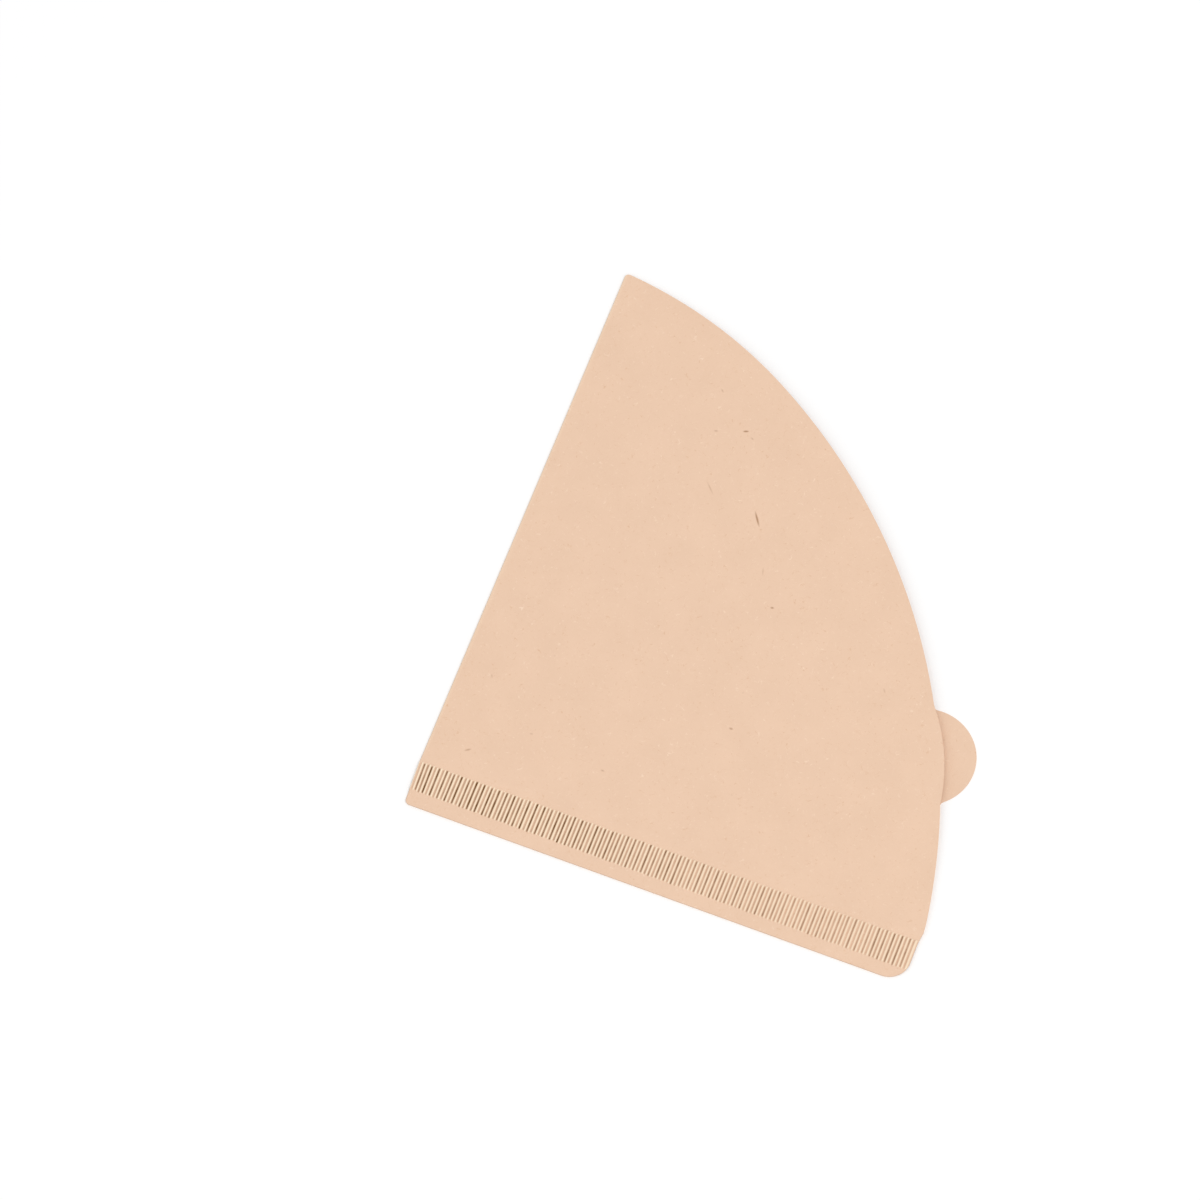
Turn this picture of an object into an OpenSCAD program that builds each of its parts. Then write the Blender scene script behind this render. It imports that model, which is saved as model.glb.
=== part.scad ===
// Cone coffee filter of unbleached paper, folded flat as it comes from the packet.
// One sheet is folded in half along the left edge and cut to a fan with a pull tab,
// and its two plies are crimped together along the lower edge. It lies on its lower ply.

/* [Sheet] */
// Thickness of one ply of paper
ply_t = 0.2; // [0.15:0.05:0.3]
// Clear space between the two plies at the fold and at the seam
ply_gap = 0.2; // [0.15:0.05:0.4]
// How far the middle of the upper ply springs up at the mouth
mouth_spring = 1.2; // [0.8:0.2:4]

/* [Fan outline] */
// Length of the crimped seam, from the tip to the mouth
seam_length = 120.6; // [112:0.2:132]
// Radius of the long arc of the mouth, on the seam side
mouth_radius = 153.8; // [146:0.2:162]
// Angle by which the mouth leans off square to the seam
mouth_lean = 6.5; // [5:0.5:8]
// Radius of the tighter arc of the mouth, on the fold side
shoulder_radius = 111; // [104:1:116]
// Direction in which the long arc hands over to the tighter one
shoulder_angle = 60.4; // [56:0.4:64]
// Radius of the corner between the fold and the mouth
fold_corner_radius = 1; // [0.6:0.2:2]

/* [Pull tab on the lower ply] */
// Radius of the round tab
tab_radius = 11.6; // [9:0.2:13]
// How far the tab stands out past the mouth
tab_reach = 8.5; // [6:0.5:9.5]
// Direction of the tab from the centre of the long arc
tab_angle = 23.4; // [20:0.2:27]
// Radius of the small curves at the foot of the tab
tab_foot_radius = 1.2; // [0.6:0.2:2]
// How far the upper ply's edge swells out over the foot of the tab
cover_swell = 1.1; // [0.7:0.1:1.5]
// Radius of that swell
cover_swell_radius = 46; // [42:1:52]

/* [Crimped seam] */
// Width of the ribbed band
crimp_width = 6.8; // [5:0.2:8]
// Distance from one rib to the next
rib_pitch = 0.91; // [0.8:0.01:1.2]
// Height of a rib above its grooves
rib_height = 0.36; // [0.2:0.02:0.5]
// How much fuller a rib is than its groove, where 1 is an even wave
rib_fullness = 1.3; // [1:0.1:2.5]
// How far the crimp draws the seam's end back from the mouth
crimp_setback = 0.7; // [0.4:0.1:2]
// How far above the seam the mouth starts to draw back
draw_back_height = 3.6; // [1:0.2:5]
// Width of the strip on each side of the ribs where the plies are pressed into one
pressed_strip = 0.3; // [0.2:0.1:0.6]
// Width of the plain margin below the ribs, at the fold
margin_at_fold = 3.5; // [3:0.1:5]
// Width of the plain margin below the ribs, at the mouth
margin_at_mouth = 3.2; // [3.1:0.1:4.4]
// Radius of the margin's corner at the mouth
margin_mouth_radius = 3; // [1:0.5:3]
// Radius of the margin's corner at the fold
margin_fold_radius = 1.2; // [0.6:0.2:2]

/* [Hidden] */

$fn = 128;
paper_color = [0.93, 0.796, 0.69];
// Straight pieces that make up one rib of the wave, and one corner of the margin
rib_steps = 5;
corner_steps = 8;
// How far the ribs bite into the strips round them
rib_bite = 0.1;
// Outside radius of the fold, and the levels of the upper ply's two faces along its edges
fold_r = (2 * ply_t + ply_gap) / 2;
upper_floor = ply_t + ply_gap;
upper_top = 2 * ply_t + ply_gap;

// Unit vector in a direction, and along a line
function heading(a) = [cos(a), sin(a)];
function unit(v) = v / norm(v);

// The mouth is two arcs that meet tangentially on one ray from the long arc's centre
arc_centre = [seam_length - mouth_radius * cos(mouth_lean), -mouth_radius * sin(mouth_lean)];
shoulder_centre = arc_centre + (mouth_radius - shoulder_radius) * heading(shoulder_angle);
// The round corner at the fold touches the fold line and the tighter arc
corner_rise = sqrt(pow(shoulder_radius - fold_corner_radius, 2)
    - pow(fold_corner_radius - shoulder_centre.x, 2));
corner_centre = [fold_corner_radius, shoulder_centre.y + corner_rise];
// The tab and the swell of the upper ply over its foot share one ray
tab_centre = arc_centre + (mouth_radius + tab_reach - tab_radius) * heading(tab_angle);
swell_centre = arc_centre + (mouth_radius + cover_swell - cover_swell_radius) * heading(tab_angle);

// The margin's free edge climbs slightly towards the mouth
crimp_end = seam_length - crimp_setback;
margin_slope = atan2(margin_at_fold - margin_at_mouth, crimp_end);
function margin_edge(x) = x * tan(margin_slope) - crimp_width - margin_at_fold;
function margin_corner(x, radius) = [x, margin_edge(x) + radius / cos(margin_slope)];
margin_mouth_corner = margin_corner(crimp_end - margin_mouth_radius, margin_mouth_radius);
margin_fold_corner = margin_corner(margin_fold_radius, margin_fold_radius);

// Where the mouth leaves its arc to draw back to the seam's end
draw_back_x = arc_centre.x + sqrt(pow(mouth_radius, 2) - pow(draw_back_height - arc_centre.y, 2));

// Limits of the outline, from which the middle of the part is found
right_limit = max(draw_back_x, tab_centre.x + tab_radius);
top_limit = corner_centre.y + fold_corner_radius;
low_limit = margin_fold_corner.y - margin_fold_radius;
// Length that runs past every part of the outline
reach = 2 * max(right_limit, top_limit);

// The sprung upper ply lies on a very shallow round cone with its point at the filter's tip.
// The cone is level along the seam and along the fold, and highest halfway between them.
half_fan = 45;
cone_tilt = atan(mouth_spring / seam_length) / (1 - cos(half_fan));
cone_droop = asin(sin(cone_tilt) * cos(half_fan));

// The place where two circles cross, on one side of the line between their centres
function crossing(c1, r1, c2, r2, side) =
    let (
        gap = norm(c2 - c1),
        along = (gap * gap + r1 * r1 - r2 * r2) / (2 * gap),
        aside = side * sqrt(r1 * r1 - along * along),
        u = unit(c2 - c1)
    )
    c1 + along * u + aside * [-u.y, u.x];

// Points along an arc
function arc_points(centre, radius, from_angle, to_angle) = [
    for (i = [0:corner_steps])
        centre + radius * heading(from_angle + i * (to_angle - from_angle) / corner_steps)
];

// Height of the rib wave, from 0 in a groove to 1 on a ridge, at a part of its pitch
function rib_wave(u) = pow(sin(180 * u), 1 / rib_fullness);

// What lies between two directions from a centre, outside a circle about it.
// Cut from an outer corner it rounds it, and added in an inner corner it fills it.
module corner_web(centre, radius, way_1, way_2) {
    depth = 2 * radius;
    both = way_1 + way_2;
    difference() {
        polygon([
            centre,
            centre + depth * way_1,
            centre + 2 * depth * both / (both * both),
            centre + depth * way_2
        ]);
        translate(centre) circle(radius);
    }
}

// What the mouth loses where it draws back to the seam's end
module draw_back() {
    polygon([
        [crimp_end, 0],
        [draw_back_x, draw_back_height],
        [reach, draw_back_height],
        [reach, -crimp_setback],
        [crimp_end, -crimp_setback]
    ]);
}

// The fan above the seam line, as both plies are cut
module fan_outline() {
    difference() {
        intersection() {
            square(reach);
            translate(arc_centre) circle(mouth_radius);
        }
        difference() {
            translate(arc_centre) rotate(shoulder_angle) square(reach);
            translate(shoulder_centre) circle(shoulder_radius);
        }
        corner_web(corner_centre, fold_corner_radius, [-1, 0], unit(corner_centre - shoulder_centre));
        draw_back();
    }
}

// The upper ply's outline, swollen over the foot of the tab
module upper_outline() {
    fan_outline();
    intersection() {
        square(reach);
        translate(swell_centre) circle(cover_swell_radius);
    }
}

// One of the two small curves at the foot of the tab
module tab_foot(side) {
    centre = crossing(arc_centre, mouth_radius + tab_foot_radius,
        tab_centre, tab_radius + tab_foot_radius, side);
    corner_web(centre, tab_foot_radius, unit(arc_centre - centre), unit(tab_centre - centre));
}

// The round pull tab
module tab_outline() {
    translate(tab_centre) circle(tab_radius);
    tab_foot(-1);
    tab_foot(1);
}

// All that lies under the sprung cone, with the cone's point at a level
module under_cone(level) {
    translate([fold_r, 0, level]) rotate([0, 0, half_fan]) rotate([0, -cone_tilt, 0])
        translate([0, 0, -reach * tan(cone_droop)])
            cylinder(h = reach * tan(cone_droop), r1 = reach, r2 = 0);
}

// Both plies right of the fold, with the space between them open at the mouth
module plies() {
    difference() {
        union() {
            intersection() {
                linear_extrude(reach) difference() {
                    upper_outline();
                    square([fold_r, reach]);
                }
                under_cone(upper_top);
            }
            linear_extrude(ply_t) tab_outline();
        }
        intersection() {
            translate([fold_r, pressed_strip, ply_t]) cube(reach);
            under_cone(upper_floor);
        }
    }
}

// The sheet's half-round turn along the fold, hollow above the seam
module fold() {
    intersection() {
        linear_extrude(upper_top) {
            fan_outline();
            seam_outline();
        }
        translate([fold_r, 0, fold_r]) rotate([-90, 0, 0]) difference() {
            translate([0, 0, -reach / 2]) linear_extrude(reach) half_disc(fold_r);
            translate([0, 0, pressed_strip]) linear_extrude(reach) half_disc(ply_gap / 2);
        }
    }
}

// The left half of a disc
module half_disc(radius) {
    difference() {
        circle(radius);
        translate([0, -radius]) square(2 * radius);
    }
}

// What lies below the seam line: the ribbed band and the plain margin
module seam_outline() {
    polygon(concat(
        [[0, 0]],
        arc_points(margin_fold_corner, margin_fold_radius, 180, 270 + margin_slope),
        arc_points(margin_mouth_corner, margin_mouth_radius, 270 + margin_slope, 360),
        [[crimp_end, 0]]
    ));
}

// The plain margin, where the plies part again towards the free edge,
// and the pressed strip beside the fold that joins it to the fan
module margin() {
    difference() {
        linear_extrude(upper_top) difference() {
            seam_outline();
            translate([0, -reach]) square([fold_r, reach]);
            translate([fold_r + pressed_strip, -crimp_width]) square([reach, crimp_width]);
        }
        translate([fold_r + pressed_strip, -crimp_width - pressed_strip - reach, ply_t])
            cube([reach, reach, ply_gap]);
    }
}

// The band of ribs through both plies, which bites into the pressed strips round it
module ribs() {
    start = fold_r + pressed_strip;
    count = floor((crimp_end - start) / rib_pitch);
    last = count * rib_steps;
    crest = [for (i = [0:last]) rib_height * rib_wave((i % rib_steps) / rib_steps)];
    above = [for (i = [0:last]) [start + i * rib_pitch / rib_steps, 2 * ply_t + crest[i]]];
    below = [for (i = [last:-1:0]) [start + i * rib_pitch / rib_steps, crest[i]]];
    translate([0, rib_bite, 0]) rotate([90, 0, 0]) linear_extrude(crimp_width + 2 * rib_bite)
        polygon(concat([[start - rib_bite, 0], [start - rib_bite, 2 * ply_t]], above,
            [[crimp_end, 2 * ply_t], [crimp_end, 0]], below));
}

// The filter, with its origin under the middle of its outline
module folded_filter() {
    color(paper_color) translate([-right_limit / 2, -(top_limit + low_limit) / 2, 0]) {
        plies();
        fold();
        margin();
        ribs();
    }
}

folded_filter();
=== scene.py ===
# %% [markdown]
# # A cone coffee filter, folded flat
# The filter is one sheet of unbleached paper. It is folded in half, cut to a fan with a pull tab,
# and its two plies are crimped together along one edge with a row of fine ribs.
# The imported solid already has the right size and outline. This lesson makes the same filter again as
# a real folded sheet, with loose plies, nested ribs and cut edges, and gives it its paper finish.
# The filter's numbers are in millimetres, and MM turns them into Blender's metres at the last moment.

# %% Load the solid as a fixed frame
import math

import bpy
import numpy as np
from mathutils import Matrix, Vector


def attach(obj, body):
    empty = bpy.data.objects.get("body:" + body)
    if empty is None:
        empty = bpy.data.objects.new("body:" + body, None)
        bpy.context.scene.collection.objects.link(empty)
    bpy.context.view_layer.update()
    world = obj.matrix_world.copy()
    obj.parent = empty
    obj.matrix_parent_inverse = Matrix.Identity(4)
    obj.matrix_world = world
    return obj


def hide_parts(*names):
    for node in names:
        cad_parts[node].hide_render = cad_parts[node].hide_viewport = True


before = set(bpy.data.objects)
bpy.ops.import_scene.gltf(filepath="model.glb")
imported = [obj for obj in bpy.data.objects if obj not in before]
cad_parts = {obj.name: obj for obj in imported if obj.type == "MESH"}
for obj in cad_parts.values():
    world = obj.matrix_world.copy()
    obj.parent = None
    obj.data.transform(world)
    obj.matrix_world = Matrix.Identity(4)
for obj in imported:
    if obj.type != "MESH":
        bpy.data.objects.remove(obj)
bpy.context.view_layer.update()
MM = 0.001

# %% [markdown]
# ## The sheet's measures
# They are the named lengths that the solid is made from, so the new sheet lands on it. Only the margin's
# corner at the mouth is rounder than the solid's. X runs along the crimped seam and Y along the fold,
# both from the filter's tip.

# %% Measures, in millimetres and degrees
# Thickness of one ply, the space between the two, and how far the upper one springs up at the mouth
PLY = 0.2
PLY_GAP = 0.2
MOUTH_SPRING = 1.2
# Outline of the fan: the seam, the two arcs of the mouth and the corner at the fold
SEAM_LENGTH = 120.6
MOUTH_RADIUS = 153.8
MOUTH_LEAN = 6.5
SHOULDER_RADIUS = 111.0
SHOULDER_ANGLE = 60.4
FOLD_CORNER = 1.0
# The round tab on the lower ply, and the swell of the upper ply over the tab's foot
TAB_RADIUS = 11.6
TAB_REACH = 8.5
TAB_ANGLE = 23.4
TAB_FOOT = 1.2
SWELL = 1.1
SWELL_RADIUS = 46.0
# The ribbed band, how its end is drawn back from the mouth, and the plain margin below it
CRIMP_WIDTH = 6.8
RIB_HEIGHT = 0.36
RIB_FULLNESS = 1.3
CRIMP_SETBACK = 0.7
DRAW_BACK_HEIGHT = 3.6
MARGIN_AT_FOLD = 3.5
MARGIN_AT_MOUTH = 3.2
MARGIN_MOUTH_CORNER = 5.2
MARGIN_FOLD_CORNER = 1.2


def heading(degrees):
    """Unit vector in a direction on the table."""
    return np.array([math.cos(math.radians(degrees)), math.sin(math.radians(degrees))])


def direction(vector):
    """The direction of a vector on the table, in degrees."""
    return math.degrees(math.atan2(vector[1], vector[0]))


fold_r = PLY + PLY_GAP / 2
arc_centre = np.array([SEAM_LENGTH, 0]) - MOUTH_RADIUS * heading(MOUTH_LEAN)
shoulder_centre = arc_centre + (MOUTH_RADIUS - SHOULDER_RADIUS) * heading(SHOULDER_ANGLE)
corner_rise = math.sqrt((SHOULDER_RADIUS - FOLD_CORNER) ** 2 - (FOLD_CORNER - shoulder_centre[0]) ** 2)
corner_centre = np.array([FOLD_CORNER, shoulder_centre[1] + corner_rise])
tab_centre = arc_centre + (MOUTH_RADIUS + TAB_REACH - TAB_RADIUS) * heading(TAB_ANGLE)
swell_centre = arc_centre + (MOUTH_RADIUS + SWELL - SWELL_RADIUS) * heading(TAB_ANGLE)
crimp_end = SEAM_LENGTH - CRIMP_SETBACK
margin_slope = math.atan2(MARGIN_AT_FOLD - MARGIN_AT_MOUTH, crimp_end)
top_limit = corner_centre[1] + FOLD_CORNER
low_limit = (MARGIN_FOLD_CORNER * math.tan(margin_slope) - CRIMP_WIDTH - MARGIN_AT_FOLD
             + MARGIN_FOLD_CORNER / math.cos(margin_slope) - MARGIN_FOLD_CORNER)
right_limit = arc_centre[0] + math.sqrt(MOUTH_RADIUS ** 2 - (DRAW_BACK_HEIGHT - arc_centre[1]) ** 2)
tip = np.array([-right_limit / 2, -(top_limit + low_limit) / 2, 0])
print("tip of the filter in the frame, in mm:", tip.round(3))

# %% [markdown]
# ## The camera
# The picture is taken from well above the table, 68 degrees up, with a long lens, so that the
# straight fold and the straight seam still meet at nearly the right angle that they have on the paper.
# The camera is placed by its own three directions and by where it sees the tip of the filter.

# %% Camera
# Degrees above the table, and degrees round from the seam
ELEVATION = 68.0
SPIN = -21.1
# How far the tip of the filter lies to the right, up and ahead of the camera
TIP_SEEN_AT = np.array([-40.79, -36.74, 1440.37])
LENS = 191.33
SENSOR_WIDTH = 36.0
FARTHEST_SEEN = 20000.0

rise = math.radians(ELEVATION)
spin = math.radians(SPIN)
table_turn = np.array([
    [math.cos(spin), -math.sin(spin), 0],
    [math.sin(spin), math.cos(spin), 0],
    [0, 0, 1]])
tilt = np.array([
    [1, 0, 0],
    [0, math.sin(rise), math.cos(rise)],
    [0, math.cos(rise), -math.sin(rise)]])
right, up, ahead = tilt @ table_turn
camera_place = tip - (TIP_SEEN_AT[0] * right + TIP_SEEN_AT[1] * up + TIP_SEEN_AT[2] * ahead)

camera = bpy.data.objects.new("camera", bpy.data.cameras.new("camera"))
bpy.context.scene.collection.objects.link(camera)
camera.data.sensor_fit = "HORIZONTAL"
camera.data.sensor_width = SENSOR_WIDTH
camera.data.lens = LENS
camera.data.clip_end = FARTHEST_SEEN * MM
camera.matrix_world = Matrix((
    (right[0], up[0], -ahead[0], camera_place[0] * MM),
    (right[1], up[1], -ahead[1], camera_place[1] * MM),
    (right[2], up[2], -ahead[2], camera_place[2] * MM),
    (0, 0, 0, 1)))
bpy.context.scene.camera = camera
print("camera, in mm:", camera_place.round(1))

# %% [markdown]
# ## The line of the mouth
# The mouth is where the open filter's rim will be. On the flat filter it is a long arc, then a tighter
# arc, then a small round corner at the fold. The lower ply has the round pull tab on the long arc, and
# the upper ply swells out a little over the tab's foot. Each ply's mouth is a list of points from the
# seam to the fold, placed along its arcs one after another, so the arcs stay true curves.

# %% Points along the mouth of each ply
# Distance from point to point on the mouth, on the tab, and on the small curves and the corner
STATION = 2.2
TAB_STATION = 0.9
CURVE_STATION = 0.3


def arc(centre, radius, start, end, spacing=STATION, fewest=2):
    """Points along an arc, without its last one."""
    steps = max(fewest, math.ceil(abs(math.radians(end - start)) * radius / spacing))
    return [centre + radius * heading(start + (end - start) * i / steps) for i in range(steps)]


def crossing(centre_1, radius_1, centre_2, radius_2, side):
    """Where two circles cross, on one side of the line between their centres."""
    between = centre_2 - centre_1
    gap = np.linalg.norm(between)
    along = (gap * gap + radius_1 * radius_1 - radius_2 * radius_2) / (2 * gap)
    u = between / gap
    return centre_1 + along * u + side * math.sqrt(radius_1 ** 2 - along ** 2) * np.array([-u[1], u[0]])


def tab_side(side):
    """The small arc at one foot of the tab: its centre, and its directions to the mouth and to the tab."""
    centre = crossing(arc_centre, MOUTH_RADIUS + TAB_FOOT, tab_centre, TAB_RADIUS + TAB_FOOT, side)
    return centre, direction(arc_centre - centre), direction(tab_centre - centre)


def mouth_end():
    """From the long arc's end over the tighter arc and the round corner, to where the fold begins."""
    touch = direction(corner_centre - shoulder_centre)
    fold_begins = 180 - math.degrees(math.acos((FOLD_CORNER - fold_r) / FOLD_CORNER))
    return (arc(shoulder_centre, SHOULDER_RADIUS, SHOULDER_ANGLE, touch)
            + arc(corner_centre, FOLD_CORNER, touch, fold_begins, CURVE_STATION)
            + [corner_centre + FOLD_CORNER * heading(fold_begins)])


# The rows of the crimp's strip take over a little above the seam
STRIP_TOP = 0.5
mouth_begins = math.degrees(math.asin((STRIP_TOP - arc_centre[1]) / MOUTH_RADIUS))
near_foot, near_mouth_way, near_tab_way = tab_side(-1)
far_foot, far_mouth_way, far_tab_way = tab_side(1)
# The small arcs curve the other way from the mouth, so they run clockwise
near_tab_way -= 360 * (near_tab_way > near_mouth_way)
far_mouth_way -= 360 * (far_mouth_way > far_tab_way)
lower_mouth = (
    arc(arc_centre, MOUTH_RADIUS, mouth_begins, direction(near_foot - arc_centre))
    + arc(near_foot, TAB_FOOT, near_mouth_way, near_tab_way, CURVE_STATION)
    + arc(tab_centre, TAB_RADIUS,
          direction(near_foot - tab_centre), direction(far_foot - tab_centre), TAB_STATION)
    + arc(far_foot, TAB_FOOT, far_tab_way, far_mouth_way, CURVE_STATION)
    + arc(arc_centre, MOUTH_RADIUS, direction(far_foot - arc_centre), SHOULDER_ANGLE)
    + mouth_end())

swell_near = crossing(arc_centre, MOUTH_RADIUS, swell_centre, SWELL_RADIUS, -1)
swell_far = crossing(arc_centre, MOUTH_RADIUS, swell_centre, SWELL_RADIUS, 1)
upper_mouth = (
    arc(arc_centre, MOUTH_RADIUS, mouth_begins, direction(swell_near - arc_centre))
    + arc(swell_centre, SWELL_RADIUS,
          direction(swell_near - swell_centre), direction(swell_far - swell_centre))
    + arc(arc_centre, MOUTH_RADIUS, direction(swell_far - arc_centre), SHOULDER_ANGLE)
    + mouth_end())

# Where the first stretch gets closer points, as parts of its length
SEAM_ROWS = (0.15, 0.32, 0.55)


def with_seam_rows(mouth):
    """Closer points on the first stretch, where the sheet steps down to the crimped seam."""
    first, second = mouth[0], mouth[1]
    rows = [first + (second - first) * part for part in SEAM_ROWS]
    return [first] + rows + mouth[1:]


upper_mouth = with_seam_rows(upper_mouth)
lower_mouth = with_seam_rows(lower_mouth)
print("stations on the upper and lower mouth:", len(upper_mouth), len(lower_mouth))

# %% [markdown]
# ## Folding the sheet
# A sheet that is only bent, never stretched, is best made as one grid: one way of the grid runs along
# the mouth and the other from the tip to the mouth. A plain grid is added, and each of its points is
# then carried to its place on the folded sheet: up the upper ply, round the half-turn of the fold, and
# back down the lower ply. All rings shrink towards the tip, so the points there are merged into one.
# Boxes cut with a boolean would give the same outline, but their faces would not follow the paper.

# %% Fold a grid into the two plies
# Steps round the half-turn of the fold, and rings from the tip to the mouth
FOLD_STEPS = 8
RINGS = 35
# How near to each other points are merged
MERGE_WITHIN = 0.002
# Levels of the middle of the two plies, and the radius of the middle of the paper in the fold
MID = PLY / 2
upper_level = PLY + PLY_GAP + MID
turn_radius = fold_r - MID

stations = [np.array([p[0], p[1], upper_level]) for p in upper_mouth]
for i in range(1, FOLD_STEPS):
    half_turn = math.pi * i / FOLD_STEPS
    outer_x = fold_r * (1 - math.sin(half_turn))
    rim = corner_centre[1] + math.sqrt(FOLD_CORNER ** 2 - (FOLD_CORNER - outer_x) ** 2)
    stations.append(np.array([fold_r - turn_radius * math.sin(half_turn), rim,
                              fold_r + turn_radius * math.cos(half_turn)]))
stations += [np.array([p[0], p[1], MID]) for p in reversed(lower_mouth)]
stations = np.array(stations)


def starts(station):
    """Where a station's line starts: at the tip on a flat ply, and straight across on the fold."""
    return np.stack([np.minimum(station[:, 0], fold_r), np.full(len(station), STRIP_TOP), station[:, 2]], 1)


bpy.ops.object.select_all(action="DESELECT")
bpy.ops.mesh.primitive_grid_add(x_subdivisions=RINGS, y_subdivisions=len(stations) - 1, size=1)
sheet = bpy.context.object
sheet.name = "filter_paper"
sheet.data.name = "filter_paper"


def read_points(piece):
    """All points of a piece, in millimetres from the tip of the filter."""
    co = np.empty(len(piece.data.vertices) * 3)
    piece.data.vertices.foreach_get("co", co)
    return co.reshape(-1, 3) / MM - tip


def write_points(piece, points):
    """Puts all points of a piece back, in metres in the frame."""
    piece.data.vertices.foreach_set("co", ((points + tip) * MM).ravel())
    piece.data.update()


# The grid is added as a square one metre wide. One way across it counts rings, the other stations.
grid = (read_points(sheet) + tip) * MM
ring = np.round((grid[:, 0] + 0.5) * RINGS) / RINGS
line = np.round((grid[:, 1] + 0.5) * (len(stations) - 1)).astype(int)
start = starts(stations)[line]
write_points(sheet, start + ring[:, None] * (stations[line] - start))

bpy.ops.object.mode_set(mode="EDIT")
bpy.ops.mesh.select_all(action="SELECT")
bpy.ops.mesh.remove_doubles(threshold=MERGE_WITHIN * MM)
bpy.ops.object.mode_set(mode="OBJECT")
print("folded grid:", len(sheet.data.vertices), "points,", len(sheet.data.polygons), "faces")

# %% [markdown]
# ## The strip for the crimp
# Both plies run on past the seam: 6.8 mm for the ribs and about 3.5 mm of plain margin. By hand this is an
# extrusion of the sheet's open edge. The ribs are under a millimetre apart, so that edge is first cut
# into short pieces, eight to a rib, and then pulled down row by row. The rows lie closer at both ends of
# the ribs, where each rib has a round end.

# %% Cut the open edge finely and pull it down in rows
# Number of short pieces that the open edge is cut into between two rings
PIECES_PER_RING = 30
# Each row of the band by its height from the seam, and each row of the margin as a part of its width
BAND_ROWS = [0.32, 0.18, 0.04, -0.14, -0.5, -1.8, -3.4, -5.0, -6.2, -6.5, -6.66, -6.8, -6.94, -7.1]
MARGIN_ROWS = [0.2, 0.6, 1.0]
# How near a point has to be to count as lying on a level or an edge
TOUCH = 1e-3


def select_edges(piece, wanted):
    """Selects the edges whose two ends both pass a test, and goes into edit mode."""
    bpy.ops.object.mode_set(mode="EDIT")
    bpy.ops.mesh.select_mode(type="EDGE")
    bpy.ops.mesh.select_all(action="DESELECT")
    bpy.ops.object.mode_set(mode="OBJECT")
    passes = wanted(read_points(piece))
    for edge in piece.data.edges:
        edge.select = bool(passes[edge.vertices[0]] and passes[edge.vertices[1]])
    bpy.ops.object.mode_set(mode="EDIT")


def on_open_edge(points):
    return points[:, 1] < STRIP_TOP + TOUCH


def on_a_ply(points):
    return (points[:, 2] > upper_level - TOUCH) | (points[:, 2] < MID + TOUCH)


select_edges(sheet, lambda p: on_open_edge(p) & on_a_ply(p))
bpy.ops.mesh.subdivide(number_cuts=PIECES_PER_RING - 1)
bpy.ops.object.mode_set(mode="OBJECT")

select_edges(sheet, on_open_edge)
last_row = STRIP_TOP
for row in BAND_ROWS + [BAND_ROWS[-1] - part for part in MARGIN_ROWS]:
    bpy.ops.mesh.extrude_region_move(TRANSFORM_OT_translate={"value": (0, (row - last_row) * MM, 0)})
    last_row = row
bpy.ops.object.mode_set(mode="OBJECT")
print("with the crimp's strip:", len(sheet.data.vertices), "points")

# %% [markdown]
# ## The margin's free edge
# The ribs take up some paper, so the crimped end is drawn back from the mouth by a soft step. The margin is
# a little narrower towards the mouth, and both its corners are round. The strip's rows are still straight,
# so they are moved down or up here until the last one lies on that edge. The edge is worked out for where
# each column will stand once it is drawn back, which is done with the last shaping.

# %% Shape the margin
# How far below the seam the draw-back is complete
DRAW_BACK_TAIL = 0.2
# Narrowest margin that is left in its round corners
LEAST_MARGIN = 0.1


def smooth_step(value):
    """0 below 0, 1 above 1, and a soft change in between."""
    value = np.clip(value, 0, 1)
    return value * value * (3 - 2 * value)


def end_pull(x, y):
    """How far the crimp draws a point back from the mouth."""
    drawn = smooth_step((DRAW_BACK_HEIGHT - y) / (DRAW_BACK_HEIGHT + DRAW_BACK_TAIL))
    return CRIMP_SETBACK * x / SEAM_LENGTH * drawn


def margin_edge(x):
    """How far down the sheet ends at a place along the crimp."""
    line = x * math.tan(margin_slope) - CRIMP_WIDTH - MARGIN_AT_FOLD
    for centre_x, radius, outside in (
            (MARGIN_FOLD_CORNER, MARGIN_FOLD_CORNER, x < MARGIN_FOLD_CORNER),
            (crimp_end - MARGIN_MOUTH_CORNER, MARGIN_MOUTH_CORNER, x > crimp_end - MARGIN_MOUTH_CORNER)):
        centre_y = (centre_x * math.tan(margin_slope) - CRIMP_WIDTH - MARGIN_AT_FOLD
                    + radius / math.cos(margin_slope))
        rounded = centre_y - np.sqrt(np.maximum(radius ** 2 - (x - centre_x) ** 2, 0))
        line = np.where(outside, rounded, line)
    return line


points = read_points(sheet)
x, y = points[:, 0], points[:, 1]
ends_at = margin_edge(x - end_pull(x, -CRIMP_WIDTH))
last_band_row = np.maximum(BAND_ROWS[-1], ends_at + LEAST_MARGIN)
part_down = np.clip(BAND_ROWS[-1] - y, 0, 1)
in_band = np.where(y < 0, y * last_band_row / BAND_ROWS[-1], y)
points[:, 1] = np.where(part_down > 0, last_band_row + part_down * (ends_at - last_band_row), in_band)
write_points(sheet, points)
straight_ends = np.array([MARGIN_FOLD_CORNER, crimp_end - MARGIN_MOUTH_CORNER])
print("width of the margin at both ends of its straight edge, in mm:",
      (-CRIMP_WIDTH - margin_edge(straight_ends)).round(2))

# %% [markdown]
# ## Thickness
# So far the sheet has no thickness. Solidify gives it the paper's 0.2 mm, half to each side, and closes
# the cut edges. It is applied while the plies are still flat, so both faces of a ply come out exactly
# level, and the shaping that follows moves them alike.

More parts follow.
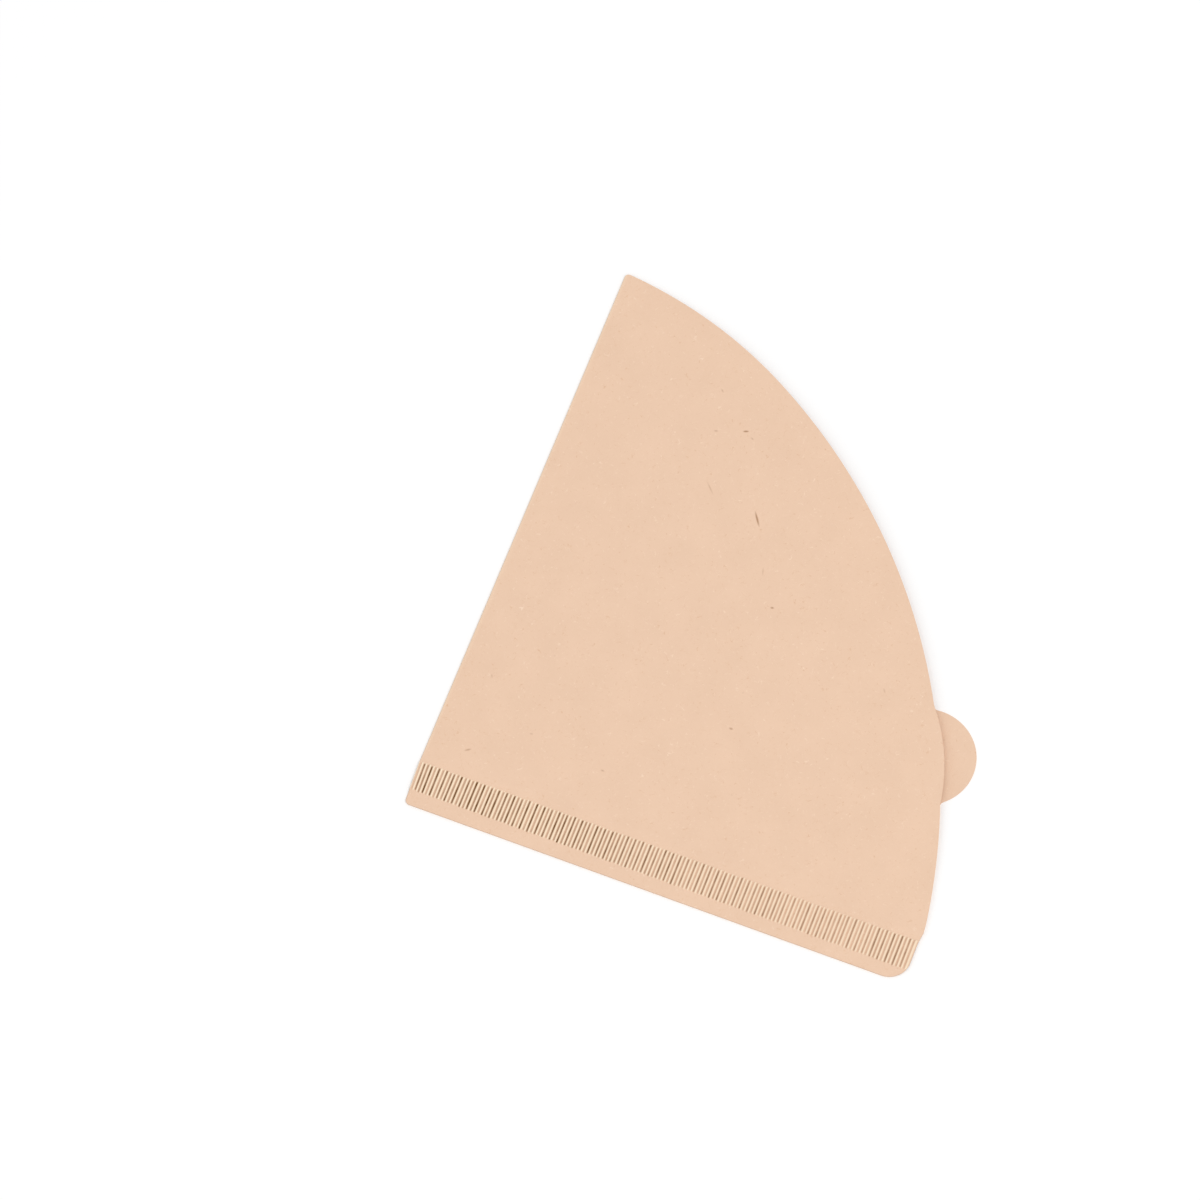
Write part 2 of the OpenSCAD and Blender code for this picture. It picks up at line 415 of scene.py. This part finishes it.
# %% Give the sheet its thickness
bpy.ops.object.mode_set(mode="EDIT")
bpy.ops.mesh.select_all(action="SELECT")
bpy.ops.mesh.normals_make_consistent(inside=False)
bpy.ops.object.mode_set(mode="OBJECT")
thickness = sheet.modifiers.new("paper thickness", "SOLIDIFY")
thickness.thickness = PLY * MM
thickness.offset = 0
thickness.use_even_offset = True
bpy.ops.object.modifier_apply(modifier=thickness.name)
print("solid sheet:", len(sheet.data.vertices), "points,", len(sheet.data.polygons), "faces")

# %% [markdown]
# ## Shaping the paper up and down
# Three things lift this paper off a flat sheet. The fold and the seam hold the upper ply down, so it
# springs up between them like a very shallow cone. The crimp presses both plies together and folds them
# into ribs, with grooves that sink a little below the paper beside them. And real paper is never quite
# flat. A sculpted mesh could show this too, but a few formulas give the same ribs every time. They move
# a point straight up or down, so the ply keeps its thickness. Only last are the points near the crimp
# also moved a little sideways, where it draws the paper in.

# %% Helpers for the shaping
rng = np.random.default_rng(12)
# How far below the ribs the pressed band ends
BAND_END = 0.3


def distance_from_band(y):
    """How far a place is from the ribbed band, in mm."""
    return np.maximum(np.maximum(y - STRIP_TOP, -CRIMP_WIDTH - BAND_END - y), 0)


points = read_points(sheet)
x, y, z = points.T.copy()
# 0 on the lower ply and 1 on the upper one
upper = np.clip((z - PLY) / PLY_GAP, 0, 1)
away = distance_from_band(y)
print("points on the upper ply:", int((upper > 0.5).sum()), "of", len(upper))

# %% Spring of the upper ply
# Three long, low waves of paper that is not quite flat: length and height of each
WAVES = ((74, 0.05), (47, 0.035), (31, 0.02))
# The waves have their full height where the ply has sprung up this far
WAVES_FULL_AT = 0.6

half_fan = math.radians(45)
cone_tilt = math.atan(MOUTH_SPRING / SEAM_LENGTH) / (1 - math.cos(half_fan))
cone_droop = math.asin(math.sin(cone_tilt) * math.cos(half_fan))


def spring(x, y):
    """How far the sprung ply stands above its level at the seam and the fold."""
    reach_out = np.hypot(np.maximum(x - fold_r, 0), np.maximum(y, 0))
    way = np.arctan2(np.maximum(y, 0), np.maximum(x - fold_r, 1e-6))
    return reach_out * (math.sin(cone_tilt) * np.cos(way - half_fan) - math.sin(cone_droop))


waves = np.zeros_like(x)
for length, height in WAVES:
    turn, phase = rng.uniform(0, math.pi), rng.uniform(0, 2 * math.pi)
    waves += height * np.sin(2 * math.pi * (x * math.cos(turn) + y * math.sin(turn)) / length + phase)
waves *= smooth_step(spring(x, y) / WAVES_FULL_AT)
lift = upper * (spring(x, y) + waves)
print("highest spring at the mouth, in mm:", lift.max().round(2))

# %% Places of the ribs
# Each rib is this many columns of the strip's points wide
COLUMNS_PER_RIB = 8
# How far the last ridge comes down before the sheet ends, and over which part of a rib
LAST_DROP = 0.25
LAST_DROP_WIDTH = 0.6

column = (lower_mouth[0][0] - fold_r) / RINGS / PIECES_PER_RING
pitch = COLUMNS_PER_RIB * column
first_groove = fold_r + column
ribs = math.floor((SEAM_LENGTH - first_groove) / pitch)

# The number of the nearest groove and of the ridge, and a wave from 0 in a groove to 1 on a ridge
place = (x - first_groove) / pitch
groove = np.clip(np.round(place), 0, ribs).astype(int)
ridge = np.clip(np.floor(place), 0, ribs - 1).astype(int)
wave = np.abs(np.sin(math.pi * place)) ** (1 / RIB_FULLNESS)
past_last = place - (ribs - 0.5)
wave = np.where(past_last > 0, 1 - LAST_DROP * smooth_step(past_last / LAST_DROP_WIDTH), wave)
print("ribs:", ribs, "pitch in mm:", round(pitch, 4))

# %% How deep and how long each groove is pressed
# Every other groove is deeper, as it comes from wheels whose teeth mesh a little unevenly. The first one
# is hardly pressed, because the half-round fold beside it gives way.
SHALLOW_GROOVE = 0.55
DEEP_GROOVE = 0.98
FIRST_GROOVE = 0.15
DEPTH_ERROR = (-0.24, 0.06)
# Where grooves and ridges end above and below, and how unequal these ends are
TOP_ENDS = {"groove": 0.25, "ridge": 0.36}
TOP_ERRORS = {"groove": (-0.14, 0.12), "ridge": (-0.06, 0.06)}
LOW_ENDS = {"groove": -6.9, "ridge": -7.0}
LOW_ERRORS = {"groove": (-0.12, 0.16), "ridge": (-0.05, 0.06)}
# How much longer they are at the mouth, at either end, and the length of a round end
LONGER_AT_MOUTH = 0.15
ROUND_END = 0.3
# Depth and length of the soft changes along a groove
UNEVEN_DEPTH = 0.15
UNEVEN_LENGTH = 4.3

odd = np.arange(ribs + 1) % 2
groove_depth = np.where(odd, DEEP_GROOVE, SHALLOW_GROOVE) + rng.uniform(*DEPTH_ERROR, ribs + 1)
groove_depth[0] = FIRST_GROOVE
longer = LONGER_AT_MOUTH * np.arange(ribs + 1) / ribs
top_end = {kind: end + longer + rng.uniform(*TOP_ERRORS[kind], ribs + 1) for kind, end in TOP_ENDS.items()}
low_end = {kind: end - longer + rng.uniform(*LOW_ERRORS[kind], ribs + 1) for kind, end in LOW_ENDS.items()}


def along(kind, index):
    """1 along a rib or groove, and 0 past its round ends."""
    from_top = (top_end[kind][index] - y) / ROUND_END
    from_low = (y - low_end[kind][index]) / ROUND_END
    return smooth_step(np.minimum(from_top, from_low))


change_begins = rng.uniform(0, 6.28, ribs + 1)[groove]
uneven = 1 - UNEVEN_DEPTH * (1 + np.sin(2 * math.pi * y / UNEVEN_LENGTH + change_begins))
print("depth of the first grooves, as parts of a full one:", groove_depth[:4].round(2))

# %% Press the ribs into the sheet
# Space that is left between the pressed plies
PRESSED_GAP = 0.01
# Level of the plain paper between the bottom and the top of a rib, and how far beside the ribs it reaches
PLAIN_LEVEL = 0.42
BESIDE_THE_RIBS = 3.0
# Over what distance the plies close above the band, and how far and over what distance they part below it
CLOSES_WITHIN = 1.6
PARTS_BY = 0.25
PARTS_WITHIN = 2.5

rib_height = RIB_HEIGHT - PRESSED_GAP
up_part = along("ridge", ridge) * np.maximum(wave - PLAIN_LEVEL, 0)
down_part = along("groove", groove) * groove_depth[groove] * uneven * np.maximum(PLAIN_LEVEL - wave, 0)
lift += rib_height * (up_part - down_part)
# The paper beside the ribs stands a little below the middle of their height and comes down within a few mm
lift += rib_height * PLAIN_LEVEL * (1 - smooth_step(away / BESIDE_THE_RIBS))
# In the band the upper ply lies on the lower one, and in the margin almost
closed = np.where(y < 0, 1 - PARTS_BY * smooth_step(away / PARTS_WITHIN),
                  1 - smooth_step(away / CLOSES_WITHIN))
lift -= upper * (PLY_GAP - PRESSED_GAP) * closed
print("highest point beside the fold and highest of all, in mm:",
      round(float((z + lift)[x < fold_r].max()), 2), round(float((z + lift).max()), 2))

# %% Draw the paper in, and write the finished points
# Beside the ribs the end of the fold leans in by this much, over this height and this length
FOLD_LEAN = 0.46
FOLD_LEAN_HEIGHT = 9.6
FOLD_LEAN_REACH = 12.0
# No two ribs are quite equally far apart
SPACING_ERROR = 0.05
SPACING_FADES_WITHIN = 2.0

lean_down = np.clip(-y / FOLD_LEAN_HEIGHT, 0, 1)
fold_lean = FOLD_LEAN * lean_down * np.clip(1 - x / FOLD_LEAN_REACH, 0, 1) ** 2
spacing = rng.uniform(-SPACING_ERROR, SPACING_ERROR, ribs + 1)
spacing[[0, -1]] = 0
near_band = 1 - smooth_step(away / SPACING_FADES_WITHIN)
sideways = np.interp(place, np.arange(ribs + 1), spacing) * near_band
write_points(sheet, np.stack([x + fold_lean + sideways - end_pull(x, y), y, z + lift], 1))
print("most that a point was drawn back, in mm:", round(float(end_pull(x, y).max()), 2))

# %% Painted shade in the grooves and painted highlight on the ridges
# How strong the painted groove shade and ridge highlight are along the seam: half as strong near the
# mouth as at the tip, and a little stronger again at the very end
CONTRAST_PLACES = (0, 36, 48, 92, 105, 115)
CONTRAST_STRENGTHS = (1.14, 1.1, 0.92, 0.54, 0.5, 0.72)
# Where on the ribs' wave the painted shade fades and the painted highlight grows, and over how much
GROOVE_SHADE_FADES = (0.35, 0.6)
RIDGE_HIGHLIGHT_GROWS = (0.8, 0.18)
# How much of the painted ridge highlight is there anyway, and how much of it grows with the strength along
# the seam
HIGHLIGHT_BASE = 0.45
HIGHLIGHT_SHARE = 0.5
# How strong the painted highlight along the fold is above the seam, how wide, and from which height on in
# full
FOLD_HIGHLIGHT = 0.3
FOLD_HIGHLIGHT_WIDTH = 0.7
FOLD_HIGHLIGHT_HEIGHT = 2

painted_contrast = np.interp(x, CONTRAST_PLACES, CONTRAST_STRENGTHS)
groove_shade_line = 1 - smooth_step((wave - GROOVE_SHADE_FADES[0]) / GROOVE_SHADE_FADES[1])
ridge_highlight_line = smooth_step((wave - RIDGE_HIGHLIGHT_GROWS[0]) / RIDGE_HIGHLIGHT_GROWS[1])
fold_highlight_line = (1 - smooth_step((x - 0.1) / FOLD_HIGHLIGHT_WIDTH)) * smooth_step(y / FOLD_HIGHLIGHT_HEIGHT)
groove_shade_amount = painted_contrast * along("groove", groove) * groove_depth[groove] * uneven * groove_shade_line
ridge_highlight_amount = (HIGHLIGHT_BASE + HIGHLIGHT_SHARE * painted_contrast) * along("ridge", ridge) * ridge_highlight_line
ridge_highlight_amount = np.maximum(ridge_highlight_amount, FOLD_HIGHLIGHT * fold_highlight_line)

# Both are kept for the paper's colour: one holds the painted shade in the grooves, the other the painted
# highlight on the ridges. Seen from below, a groove is a ridge and a ridge is a groove, so they swap.
from_below = z < MID
for name, above, below in (("groove", groove_shade_amount, ridge_highlight_amount), ("crest", ridge_highlight_amount, groove_shade_amount)):
    mark = sheet.data.attributes.new(name, "FLOAT", "POINT")
    mark.data.foreach_set("value", np.where(from_below, below, above))

bpy.ops.object.select_all(action="DESELECT")
sheet.select_set(True)
bpy.context.view_layer.objects.active = sheet
bpy.ops.object.shade_smooth_by_angle(angle=math.radians(50))
sheet.data.calc_loop_triangles()
print("triangles:", len(sheet.data.loop_triangles))

# %% [markdown]
# ## Unbleached filter paper
# The paper is made from wood pulp that keeps its own light brown. It is matt, slightly cloudy where the
# pulp lies thicker, and here and there it holds a dark sliver of bark. Its grain is felt more than seen.
# Colour and grain are computed from the place on the sheet, so the pattern has a real size everywhere.
# A photograph of paper could be wrapped on instead, but it would blur up close and repeat.

# %% Colours and nodes


def linear(hex_color):
    """An sRGB hex colour as the linear values that Blender's sockets hold."""
    parts = [int(hex_color[i:i + 2], 16) / 255 for i in (1, 3, 5)]
    return tuple(c / 12.92 if c <= 0.04045 else ((c + 0.055) / 1.055) ** 2.4 for c in parts) + (1.0,)


def add(tree, kind, inputs=None, **settings):
    """Adds a node with its settings. An input is a value, or a socket to link from."""
    node = tree.nodes.new("ShaderNode" + kind)
    for name, value in settings.items():
        setattr(node, name, value)
    for name, value in (inputs or {}).items():
        if isinstance(value, bpy.types.NodeSocket):
            tree.links.new(value, node.inputs[name])
        else:
            node.inputs[name].default_value = value
    return node


def new_material(name):
    """An empty material: its node tree and its output node."""
    material = bpy.data.materials.new(name)
    material.use_nodes = True
    material.node_tree.nodes.clear()
    return material, add(material.node_tree, "OutputMaterial")


print("mid grey as linear values:", [round(c, 4) for c in linear("#808080")])

# %% The paper's finish
PAPER_THIN = "#EFCDB2"
PAPER_THICK = "#EBC9AE"
FIBRE_DARK = "#E4BD9D"
FIBRE_LIGHT = "#F6D8BF"
GROOVE_SHADE = "#7D5522"
RIDGE_HIGHLIGHT = "#FFEACD"
BARK = "#A67A57"
# Distance from cloud to cloud of the pulp, size of a fibre's curl, and of the places where fibres show
CLOUD_SIZE = 9
CURL_SIZE = 1.4
PATCH_SIZE = 0.9
# How strongly the painted shade darkens the grooves and the painted highlight lightens the ridges
GROOVE_SHADE_STRENGTH = 0.92
RIDGE_HIGHLIGHT_STRENGTH = 0.95

paper, output = new_material("unbleached_filter_paper")
tree = paper.node_tree
position = add(tree, "TexCoord").outputs["Object"]
in_mm = add(tree, "VectorMath", {0: position, "Scale": 1 / MM}, operation="SCALE").outputs["Vector"]

# The pulp is a little cloudy
clouds = add(tree, "TexNoise", {"Vector": in_mm, "Scale": 1 / CLOUD_SIZE, "Detail": 3.0, "Roughness": 0.55})
cloud_color = add(tree, "ValToRGB", {"Fac": clouds.outputs["Fac"]})
cloud_color.color_ramp.elements[0].position = 0.25
cloud_color.color_ramp.elements[0].color = linear(PAPER_THICK)
cloud_color.color_ramp.elements[1].position = 0.75
cloud_color.color_ramp.elements[1].color = linear(PAPER_THIN)

# Fibres lie in the pulp as short curls: the level lines of a soft noise, kept where a second noise is
# high. One is about 0.03 mm wide, too fine for any picture of the filter, so they are drawn 0.1 mm wide.
pulp_color = cloud_color.outputs["Color"]
fibre_marks = []
for shift, fibre_color in ((0, FIBRE_DARK), (40, FIBRE_LIGHT)):
    shifted = add(tree, "VectorMath", {0: in_mm, 1: (shift, 0, 0)}, operation="ADD").outputs["Vector"]
    curls = add(tree, "TexNoise", {
        "Vector": shifted, "Scale": 1 / CURL_SIZE, "Detail": 1.0, "Distortion": 0.8})
    off_level = add(tree, "Math", {0: curls.outputs["Fac"], 1: 0.5}, operation="SUBTRACT")
    off_line = add(tree, "Math", {0: off_level.outputs["Value"]}, operation="ABSOLUTE")
    on_line = add(tree, "MapRange", {
        "Value": off_line.outputs["Value"], "From Min": 0.012, "From Max": 0.002})
    second = add(tree, "TexNoise", {"Vector": shifted, "Scale": 1 / PATCH_SIZE, "Detail": 0.0})
    kept = add(tree, "MapRange", {"Value": second.outputs["Fac"], "From Min": 0.47, "From Max": 0.6})
    mark = add(tree, "Math", {0: on_line.outputs["Result"], 1: kept.outputs["Result"]}, operation="MULTIPLY")
    fibre_marks.append(mark.outputs["Value"])
    pulp_color = add(tree, "Mix", {
        "Factor": mark.outputs["Value"], "A": pulp_color, "B": linear(fibre_color)},
        data_type="RGBA").outputs["Result"]

# Painted shade darkens the grooves, and a painted highlight lightens the ridges and the fold
groove_shade_mark = add(tree, "Attribute", attribute_name="groove").outputs["Fac"]
crest_mark = add(tree, "Attribute", attribute_name="crest").outputs["Fac"]
groove_shade_mix = add(tree, "Math", {0: groove_shade_mark, 1: GROOVE_SHADE_STRENGTH}, operation="MULTIPLY").outputs["Value"]
crest_mix = add(tree, "Math", {0: crest_mark, 1: RIDGE_HIGHLIGHT_STRENGTH}, operation="MULTIPLY").outputs["Value"]
highlighted = add(tree, "Mix", {"Factor": crest_mix, "A": pulp_color, "B": linear(RIDGE_HIGHLIGHT)},
             data_type="RGBA")
shaded = add(tree, "Mix", {"Factor": groove_shade_mix, "A": highlighted.outputs["Result"], "B": linear(GROOVE_SHADE)},
              data_type="RGBA")
print("nodes up to the pressed and rubbed paper:", len(tree.nodes))

# %% Slivers of bark
# Place from the tip, length, width, direction and strength of the larger ones, in mm and degrees
SLIVERS = [
    (50.4, 82.7, 3.7, 0.50, 124, 0.62),
    (40.3, 102.3, 1.3, 0.48, 21, 0.64),
    (42.3, 101.1, 0.9, 0.40, 147, 0.20),
    (33.8, 100.0, 1.0, 0.50, 15, 0.22),
    (37.6, 86.1, 3.4, 0.42, 134, 0.18),
    (61.3, 63.4, 0.9, 0.55, 10, 0.42),
    (9.2, 6.6, 1.6, 0.50, 34, 0.30),
    (21.2, 15.3, 0.9, 0.50, 13, 0.14),
    (7.7, 25.2, 1.1, 0.40, 118, 0.17),
    (62.9, 32.6, 1.0, 0.60, 1, 0.34),
    (39.4, 12.8, 0.9, 0.50, 1, 0.24),
    (31.6, 110.0, 1.1, 0.45, 139, 0.20),
    (56.2, 71.0, 2.0, 0.45, 106, 0.15),
    (92.1, 53.6, 1.2, 0.50, 126, 0.14),
]
# How far from its middle a sliver fades out, as a part of its length and width, and how much stronger
# than its own strength it is in its middle
FADES_OUT_AT = 0.62
MIDDLE = 2.1
# Spacing of the cells that may hold a small sliver or a faint speck, the part of the cells without a
# sliver, and the directions of the small ones
BARK_SPACING = 7.0
SPECK_SPACING = 6.0
EMPTY_CELLS = 0.93
SCATTER_TURNS = (25, 70, 140)
# The most of the bark's colour that a sliver or a speck takes on
MOST_BARK = 0.75

sliver_marks = []
for along_seam, along_fold, length, width, turn, strength in SLIVERS:
    level = 2 * PLY + PLY_GAP + float(spring(np.array([along_seam]), np.array([along_fold]))[0])
    centre = Vector((along_seam, along_fold, level)) + Vector(tip)
    local = add(tree, "Mapping", {
        "Vector": in_mm, "Location": centre, "Rotation": (0, 0, math.radians(turn)),
        "Scale": (FADES_OUT_AT * length, FADES_OUT_AT * width, 0.5)}, vector_type="TEXTURE")
    near = add(tree, "TexGradient", {"Vector": local.outputs["Vector"]}, gradient_type="SPHERICAL")
    sliver_marks.append(add(tree, "Math", {0: near.outputs["Fac"], 1: MIDDLE * strength},
                            operation="MULTIPLY").outputs["Value"])

# Smaller ones lie anywhere. Only a few of the cells of a Voronoi pattern hold one.
for turn in SCATTER_TURNS:
    local = add(tree, "Mapping", {
        "Vector": in_mm, "Location": (turn, 0, 0), "Rotation": (0, 0, math.radians(turn)),
        "Scale": (1, 0.22, 1)})
    cells = add(tree, "TexVoronoi", {"Vector": local.outputs["Vector"], "Scale": 1 / BARK_SPACING})
    chosen = add(tree, "SeparateColor", {"Color": cells.outputs["Color"]})
    rare = add(tree, "Math", {0: chosen.outputs["Red"], 1: EMPTY_CELLS}, operation="GREATER_THAN")
    close = add(tree, "MapRange", {"Value": cells.outputs["Distance"], "From Min": 0.022, "From Max": 0.008})
    sliver_marks.append(add(tree, "Math", {0: rare.outputs["Value"], 1: close.outputs["Result"]},
                            operation="MULTIPLY").outputs["Value"])

# The faintest are everywhere, half a millimetre across
specks = add(tree, "TexVoronoi", {"Vector": in_mm, "Scale": 1 / SPECK_SPACING})
chosen = add(tree, "SeparateColor", {"Color": specks.outputs["Color"]})
some = add(tree, "MapRange", {
    "Value": chosen.outputs["Green"], "From Min": 0.5, "From Max": 1.0, "To Max": 0.14})
close = add(tree, "MapRange", {"Value": specks.outputs["Distance"], "From Min": 0.06, "From Max": 0.025})
sliver_marks.append(add(tree, "Math", {0: some.outputs["Result"], 1: close.outputs["Result"]},
                        operation="MULTIPLY").outputs["Value"])

bark = sliver_marks[0]
for mark in sliver_marks[1:]:
    bark = add(tree, "Math", {0: bark, 1: mark}, operation="MAXIMUM").outputs["Value"]
bark = add(tree, "Math", {0: bark, 1: MOST_BARK}, operation="MINIMUM").outputs["Value"]
paper_color = add(tree, "Mix", {"Factor": bark, "A": shaded.outputs["Result"], "B": linear(BARK)},
                  data_type="RGBA")
print("slivers with a place of their own:", len(SLIVERS))

# %% Grain
# The pulp's own grain is as fine as its fibres and is drawn coarser too, 0.35 mm wide. The soft wrinkles of
# the crepe run across the sheet about 1.2 mm apart. Both are bump, with the fibres on top.
GRAIN_SIZE = 0.35
WRINKLE_SIZE = 1.2
# How high the wrinkles and the fibres are as parts of the grain's height, and that height
WRINKLE_PART = 0.7
FIBRE_PART = 0.25
GRAIN_DEPTH = 0.05

grain = add(tree, "TexNoise", {"Vector": in_mm, "Scale": 1 / GRAIN_SIZE, "Detail": 2.0, "Roughness": 0.6})
across = add(tree, "Mapping", {"Vector": in_mm, "Rotation": (0, 0, math.radians(45)), "Scale": (1, 0.25, 1)})
crepe = add(tree, "TexNoise", {"Vector": across.outputs["Vector"], "Scale": 1 / WRINKLE_SIZE, "Detail": 2.0})
heights = add(tree, "Math", {0: crepe.outputs["Fac"], 1: WRINKLE_PART, 2: grain.outputs["Fac"]},
              operation="MULTIPLY_ADD")
for mark in fibre_marks:
    heights = add(tree, "Math", {0: mark, 1: FIBRE_PART, 2: heights.outputs["Value"]},
                  operation="MULTIPLY_ADD")
bump = add(tree, "Bump", {"Height": heights.outputs["Value"], "Strength": 0.5, "Distance": GRAIN_DEPTH * MM})

surface = add(tree, "BsdfPrincipled", {
    "Base Color": paper_color.outputs["Result"], "Roughness": 0.92, "IOR": 1.47,
    "Specular IOR Level": 0.25, "Normal": bump.outputs["Normal"]})
tree.links.new(surface.outputs["BSDF"], output.inputs["Surface"])
sheet.data.materials.append(paper)
print("paper nodes:", len(tree.nodes))

# %% [markdown]
# ## The table and the light
# The picture's ground is pure white. A white floor under plain light gives that, and it still takes the
# paper's soft shadow. Only the camera sees it quite white, so it doesn't throw too much light around.
# The light is a pale sky from all sides with one large soft lamp, together just bright enough that a
# colour comes out as it is written. A small or strong lamp would burn out the pale paper.

# %% Floor
FLOOR_SIZE = 6000
# Colour of the floor to the camera and to the light, and how much it glows for the camera
FLOOR_SEEN = "#FFFFFF"
FLOOR_LIT = "#E4E4E4"
FLOOR_GLOW = 0.03

bpy.ops.object.select_all(action="DESELECT")
bpy.ops.mesh.primitive_grid_add(x_subdivisions=8, y_subdivisions=8, size=FLOOR_SIZE * MM)
floor = bpy.context.object
floor.name = "floor"
white, output = new_material("white_table")
tree = white.node_tree
seen = add(tree, "LightPath").outputs["Is Camera Ray"]
floor_color = add(tree, "Mix", {"Factor": seen, "A": linear(FLOOR_LIT), "B": linear(FLOOR_SEEN)},
                  data_type="RGBA")
matt = add(tree, "BsdfDiffuse", {"Color": floor_color.outputs["Result"]})
glow_seen = add(tree, "Math", {0: seen, 1: FLOOR_GLOW}, operation="MULTIPLY")
glow = add(tree, "Emission", {"Strength": glow_seen.outputs["Value"]})
both = add(tree, "AddShader", {0: matt.outputs["BSDF"], 1: glow.outputs["Emission"]})
tree.links.new(both.outputs["Shader"], output.inputs["Surface"])
floor.data.materials.append(white)
print("floor, in mm:", FLOOR_SIZE)

# %% Sky and lamp
# Strength of the sky as light, and as the camera and a shiny surface see it
SKY = 0.765
SKY_SEEN = 1.0
LAMP_WATTS = 17.3
LAMP_SIZE = 1600
LAMP_PLACE = (950, -450, 2200)

world = bpy.data.worlds.new("pale sky")
bpy.context.scene.world = world
world.use_nodes = True
tree = world.node_tree
tree.nodes.clear()
output = add(tree, "OutputWorld")
rays = add(tree, "LightPath")
direct = add(tree, "Math", {0: rays.outputs["Is Camera Ray"], 1: rays.outputs["Is Glossy Ray"]},
             operation="MAXIMUM")
strength = add(tree, "MapRange", {"Value": direct.outputs["Value"], "To Min": SKY, "To Max": SKY_SEEN})
sky = add(tree, "Background", {"Color": (1, 1, 1, 1), "Strength": strength.outputs["Result"]})
tree.links.new(sky.outputs["Background"], output.inputs["Surface"])

lamp = bpy.data.objects.new("soft lamp", bpy.data.lights.new("soft lamp", "AREA"))
bpy.context.scene.collection.objects.link(lamp)
lamp.data.shape = "SQUARE"
lamp.data.size = LAMP_SIZE * MM
lamp.data.energy = LAMP_WATTS
lamp.location = Vector(LAMP_PLACE) * MM
lamp.rotation_euler = Vector(lamp.location).to_track_quat("Z", "Y").to_euler()

bpy.context.scene.view_settings.view_transform = "Standard"
print("lamp at, in mm:", LAMP_PLACE)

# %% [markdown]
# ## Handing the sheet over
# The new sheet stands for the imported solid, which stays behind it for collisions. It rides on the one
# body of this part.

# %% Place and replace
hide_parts("folded_filter")
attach(sheet, "root")
